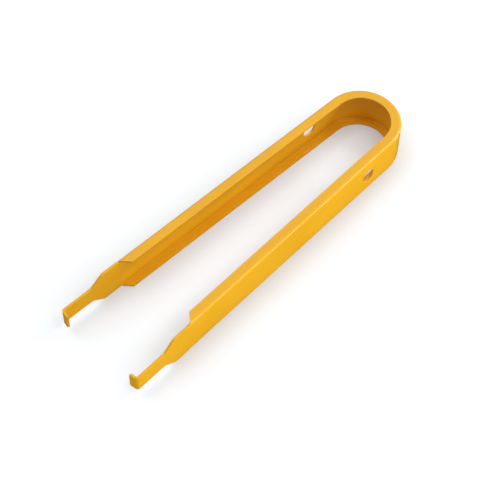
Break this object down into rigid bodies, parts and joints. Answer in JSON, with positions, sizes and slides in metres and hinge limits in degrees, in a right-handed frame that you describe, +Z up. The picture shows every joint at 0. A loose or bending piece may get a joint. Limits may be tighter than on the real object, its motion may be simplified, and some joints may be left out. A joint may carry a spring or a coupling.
{
  "type": "keyboard switch puller",
  "caption": "Springy U-shaped hand tool folded from one lacquered steel strip, with flanged arms, tapered prongs and inward hooks that grip a mechanical key switch by its clips",
  "frame": {"origin": "centre of the bounding box in X and Y, on the base plane that the lower flanges rest on", "axes": "+Y runs from the hooks to the bend, +X is across the two arms, +Z is up from the lower flanges to the upper ones"},
  "size_m": [0.0236, 0.091, 0.01],
  "materials": {
    "lacquered_steel": "satin lacquer on spring steel sheet"
  },
  "bodies": {
    "root": {"puller_body": "lacquered_steel"}
  },
  "joints": []
}
